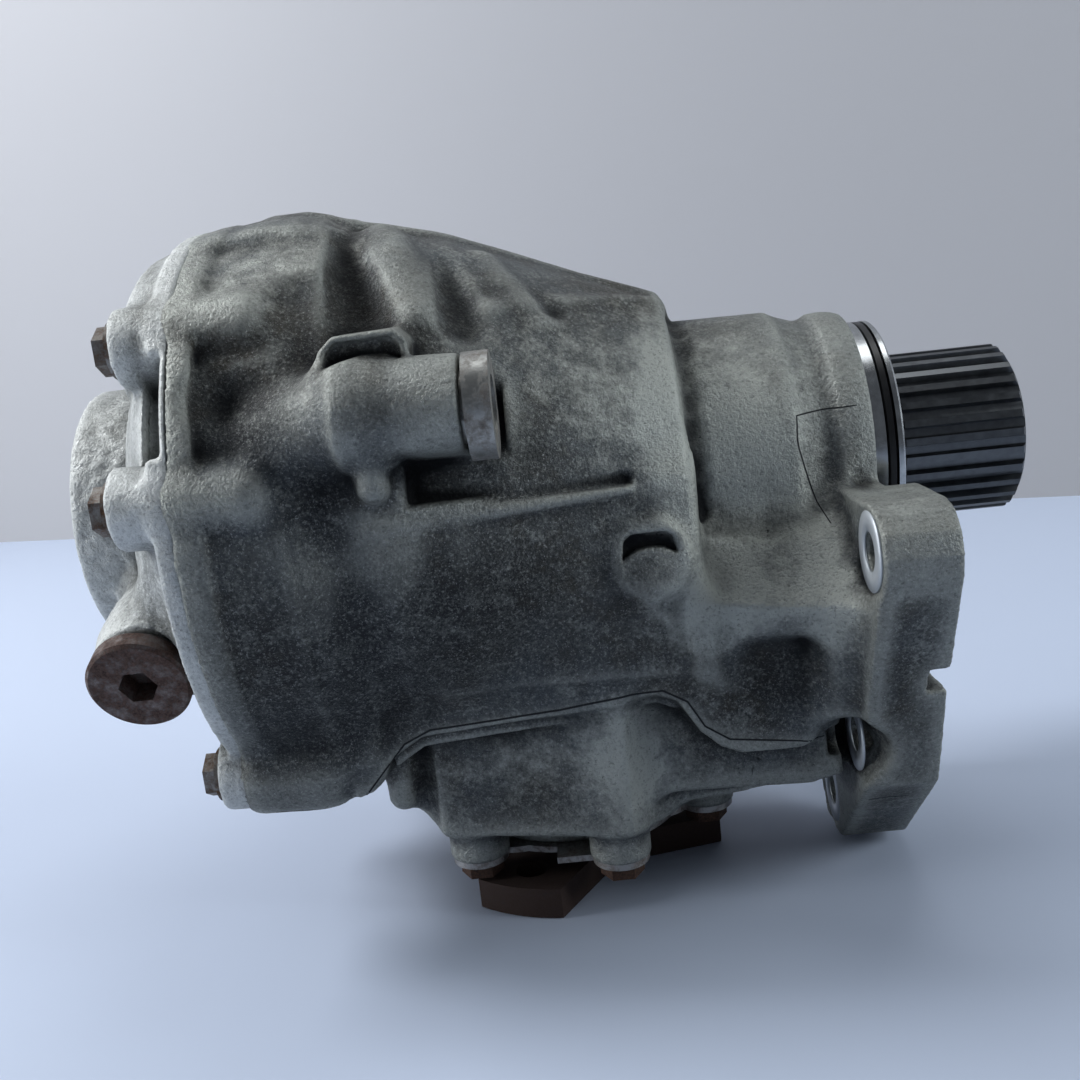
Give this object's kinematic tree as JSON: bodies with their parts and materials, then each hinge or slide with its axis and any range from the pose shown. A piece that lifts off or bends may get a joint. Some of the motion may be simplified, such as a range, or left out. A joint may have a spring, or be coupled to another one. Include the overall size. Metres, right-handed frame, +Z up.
{
  "type": "differential",
  "caption": "Angle final drive in a ribbed cast aluminium case: bevel gears, differential, splined output beside a bolted mounting flange, drive flange below.",
  "frame": {"origin": "centre of the drive flange's lower face, on the pinion axis", "axes": "+Z up along the pinion axis; +X along the output axis towards the splined output; -Y is the side with the filler plug"},
  "size_m": [0.2905, 0.1797, 0.2241],
  "materials": {
    "cast_aluminium": "rough die cast, dulled by oil and road dirt",
    "machined_aluminium": "fine turned",
    "bolt_steel": "dull plated, lightly rusted",
    "plug_steel": "dull, rusted",
    "gasket_metal": "flat, matt",
    "plastic": "matt black",
    "rubber": "oily black",
    "bearing_steel": "ground",
    "gear_steel": "lapped, oiled",
    "shaft_steel": "turned, darkened",
    "forged_steel": "dark forged, brown with rust",
    "cast_iron": "as cast"
  },
  "bodies": {
    "case": {"main_case": "cast_aluminium", "side_cover": "cast_aluminium", "cover_bolts": "bolt_steel", "joint_dowels": "bolt_steel", "filler_gasket": "gasket_metal", "filler_plug": "plug_steel", "drain_gasket": "gasket_metal", "drain_plug": "plug_steel", "breather": "plastic", "core_plug": "plug_steel", "seal_carrier": "machined_aluminium", "spigot_o_ring": "rubber", "right_seal": "rubber", "left_seal": "rubber", "pinion_seal": "rubber", "shaft_bearing_outer": "bearing_steel", "neck_circlip": "shaft_steel", "retainer_plate": "shaft_steel", "retainer_bolts": "bolt_steel", "left_shim": "shaft_steel", "left_carrier_cup": "bearing_steel", "right_carrier_cup": "bearing_steel", "pinion_head_cup": "bearing_steel", "pinion_tail_cup": "bearing_steel"},
    "carrier": {"differential_cage": "cast_iron", "ring_gear": "gear_steel", "ring_gear_bolts": "bolt_steel", "cross_pin": "shaft_steel", "roll_pin": "shaft_steel", "side_washers": "shaft_steel", "spider_washers": "shaft_steel", "left_carrier_cone": "bearing_steel", "right_carrier_cone": "bearing_steel"},
    "pinion": {"bevel_pinion": "gear_steel", "pinion_head_cone": "bearing_steel", "pinion_tail_cone": "bearing_steel", "crush_sleeve": "shaft_steel", "pinion_nut": "shaft_steel", "drive_flange": "forged_steel"},
    "right_output": {"output_shaft": "shaft_steel", "right_side_gear": "gear_steel", "shaft_bearing_inner": "bearing_steel", "shaft_circlip": "shaft_steel"},
    "left_output": {"left_side_gear": "gear_steel"},
    "upper_spider": {"upper_spider_gear": "gear_steel"},
    "lower_spider": {"lower_spider_gear": "gear_steel"},
    "left_carrier_rolling": {"left_carrier_rollers": "bearing_steel"},
    "right_carrier_rolling": {"right_carrier_rollers": "bearing_steel"},
    "pinion_head_rolling": {"pinion_head_rollers": "bearing_steel"},
    "pinion_tail_rolling": {"pinion_tail_rollers": "bearing_steel"},
    "shaft_balls": {"shaft_bearing_balls": "bearing_steel"}
  },
  "joints": [
    {"name": "carrier_spin", "type": "hinge", "parent": "case", "child": "carrier", "pos_m": [-0.074, 0, 0.133], "axis": [1, 0, 0], "continuous": true},
    {"name": "pinion_spin", "type": "hinge", "parent": "case", "child": "pinion", "pos_m": [0, 0, 0.04], "axis": [0, 0, 1], "continuous": true},
    {"name": "right_output_spin", "type": "hinge", "parent": "carrier", "child": "right_output", "pos_m": [0.05, 0, 0.133], "axis": [1, 0, 0], "continuous": true},
    {"name": "left_output_spin", "type": "hinge", "parent": "carrier", "child": "left_output", "pos_m": [-0.09, 0, 0.133], "axis": [1, 0, 0], "continuous": true},
    {"name": "upper_spider_spin", "type": "hinge", "parent": "carrier", "child": "upper_spider", "pos_m": [-0.074, 0, 0.155], "axis": [0, 0, 1], "continuous": true},
    {"name": "lower_spider_spin", "type": "hinge", "parent": "carrier", "child": "lower_spider", "pos_m": [-0.074, 0, 0.111], "axis": [0, 0, 1], "continuous": true},
    {"name": "left_rolling_spin", "type": "hinge", "parent": "case", "child": "left_carrier_rolling", "pos_m": [-0.123, 0, 0.133], "axis": [1, 0, 0], "continuous": true},
    {"name": "right_rolling_spin", "type": "hinge", "parent": "case", "child": "right_carrier_rolling", "pos_m": [0.036, 0, 0.133], "axis": [1, 0, 0], "continuous": true},
    {"name": "head_rolling_spin", "type": "hinge", "parent": "case", "child": "pinion_head_rolling", "pos_m": [0, 0, 0.0545], "axis": [0, 0, 1], "continuous": true},
    {"name": "tail_rolling_spin", "type": "hinge", "parent": "case", "child": "pinion_tail_rolling", "pos_m": [0, 0, 0.035], "axis": [0, 0, 1], "continuous": true},
    {"name": "ball_spin", "type": "hinge", "parent": "case", "child": "shaft_balls", "pos_m": [0.068, 0, 0.133], "axis": [1, 0, 0], "continuous": true}
  ],
  "couplings": [
    {"joint": "pinion_spin", "follows": "carrier_spin", "ratio": -3.0769},
    {"joint": "left_output_spin", "follows": "right_output_spin", "ratio": -1},
    {"joint": "upper_spider_spin", "follows": "right_output_spin", "ratio": -1.4},
    {"joint": "lower_spider_spin", "follows": "right_output_spin", "ratio": 1.4},
    {"joint": "left_rolling_spin", "follows": "carrier_spin", "ratio": 0.458},
    {"joint": "right_rolling_spin", "follows": "carrier_spin", "ratio": 0.467},
    {"joint": "head_rolling_spin", "follows": "carrier_spin", "ratio": -1.3569},
    {"joint": "tail_rolling_spin", "follows": "carrier_spin", "ratio": -1.3415},
    {"joint": "ball_spin", "follows": "carrier_spin", "ratio": 0.451}
  ]
}
